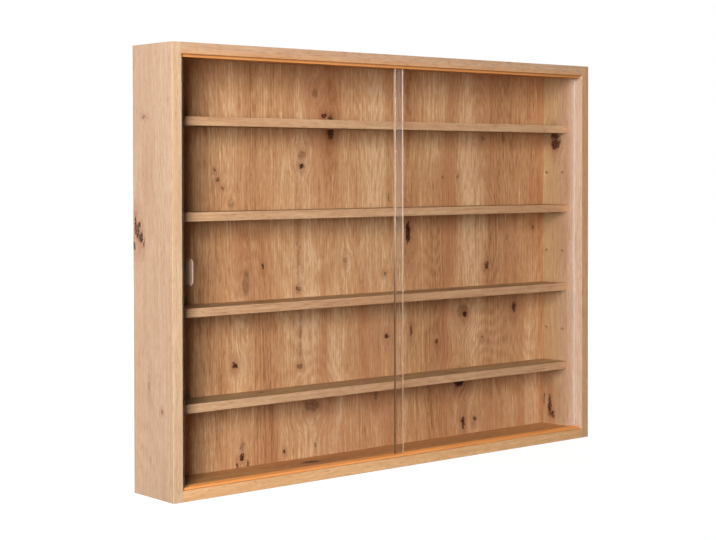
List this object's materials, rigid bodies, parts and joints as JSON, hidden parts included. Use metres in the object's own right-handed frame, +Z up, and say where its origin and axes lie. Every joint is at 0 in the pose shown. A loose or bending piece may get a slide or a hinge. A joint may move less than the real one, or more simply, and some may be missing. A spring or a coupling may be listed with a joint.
{
  "type": "wall display case",
  "caption": "Shallow wall display case in wood decor with adjustable shelves, two overlapping sliding glass panes with ground finger pulls, double-groove tracks and keyhole hangers.",
  "frame": {"origin": "middle of the footprint, on the underside of the bottom board", "axes": "+Z up, +X to the right along the case, the glass front faces -Y and the wall is towards +Y"},
  "size_m": [0.8, 0.095, 0.6],
  "materials": {
    "side_decor": "satin knotty oak decor, grain upright",
    "board_decor": "satin knotty oak decor, grain lengthwise",
    "back_decor": "satin knotty oak plank decor, grain upright",
    "edge_strip": "matte oak-coloured edging",
    "track_plastic": "honey orange extruded plastic",
    "glass": "clear polished glass, ground pulls",
    "steel": "zinc plated",
    "zinc": "die-cast, dull",
    "beech": "plain beech"
  },
  "bodies": {
    "case": {"left_side_board": "side_decor", "right_side_board": "side_decor", "top_board": "board_decor", "bottom_board": "board_decor", "back_panel": "back_decor", "left_edge_strip": "edge_strip", "right_edge_strip": "edge_strip", "top_edge_strip": "edge_strip", "bottom_edge_strip": "edge_strip", "shelf_1": "board_decor", "shelf_2": "board_decor", "shelf_3": "board_decor", "shelf_4": "board_decor", "shelf_edge_strip_1": "edge_strip", "shelf_edge_strip_2": "edge_strip", "shelf_edge_strip_3": "edge_strip", "shelf_edge_strip_4": "edge_strip", "shelf_supports": "steel", "lower_track": "track_plastic", "upper_track": "track_plastic", "cam_bolts": "steel", "cam_housings": "zinc", "dowels": "beech", "left_hanger_plate": "steel", "right_hanger_plate": "steel", "hanger_screws": "steel"},
    "left_pane": {"left_pane": "glass"},
    "right_pane": {"right_pane": "glass"}
  },
  "joints": [
    {"name": "left_pane_slide", "type": "slide", "parent": "case", "child": "left_pane", "axis": [1, 0, 0], "range_m": [0, 0.379]},
    {"name": "right_pane_slide", "type": "slide", "parent": "case", "child": "right_pane", "axis": [1, 0, 0], "range_m": [-0.379, 0]}
  ]
}
